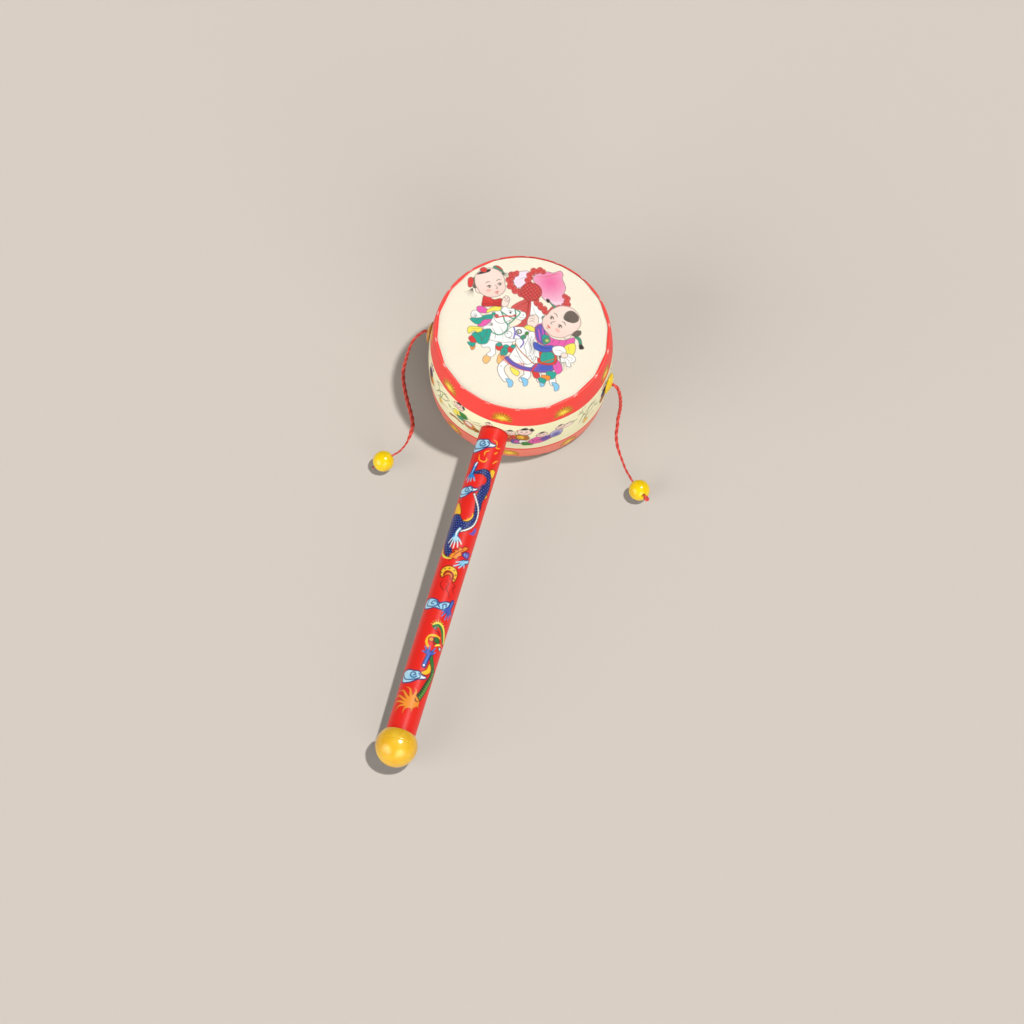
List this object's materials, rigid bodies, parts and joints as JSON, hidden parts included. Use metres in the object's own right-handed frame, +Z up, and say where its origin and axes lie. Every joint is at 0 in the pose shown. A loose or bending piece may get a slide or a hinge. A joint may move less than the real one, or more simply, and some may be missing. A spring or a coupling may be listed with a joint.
{
  "type": "painted rattle drum",
  "caption": "Handheld toy rattle drum: barrel body with printed paper heads and side, round stick with ball knob, bead on a cord at each side.",
  "frame": {"origin": "middle of the object's footprint on the surface it lies on, without the cords and beads", "axes": "+Y from the knob along the stick to the drum, +X to the right seen from the knob, +Z up off the surface"},
  "size_m": [0.1164, 0.2326, 0.0472],
  "materials": {
    "printed_side_paper": "glossy printed paper in red and cream bands with golden flowers",
    "hoop_wood": "bare turned wood",
    "printed_head": "cream printed paper skin with a slight grain",
    "lower_head_paper": "plain cream paper skin with a slight grain",
    "printed_stick": "wooden stick covered in glossy red printed paper",
    "golden_knob": "pearly golden moulded plastic",
    "yellow_plug": "glossy yellow plastic",
    "yellow_bead": "glossy yellow plastic",
    "red_cord": "red twisted two-ply cord"
  },
  "bodies": {
    "root": {"side_wrap": "printed_side_paper", "drum_hoop": "hoop_wood", "upper_head": "printed_head", "lower_head": "lower_head_paper", "handle": "printed_stick", "end_knob": "golden_knob", "left_cord_plug": "yellow_plug", "right_cord_plug": "yellow_plug", "left_cord": "red_cord", "right_cord": "red_cord", "left_bead": "yellow_bead", "right_bead": "yellow_bead", "left_knot": "red_cord", "right_knot": "red_cord"}
  },
  "joints": []
}
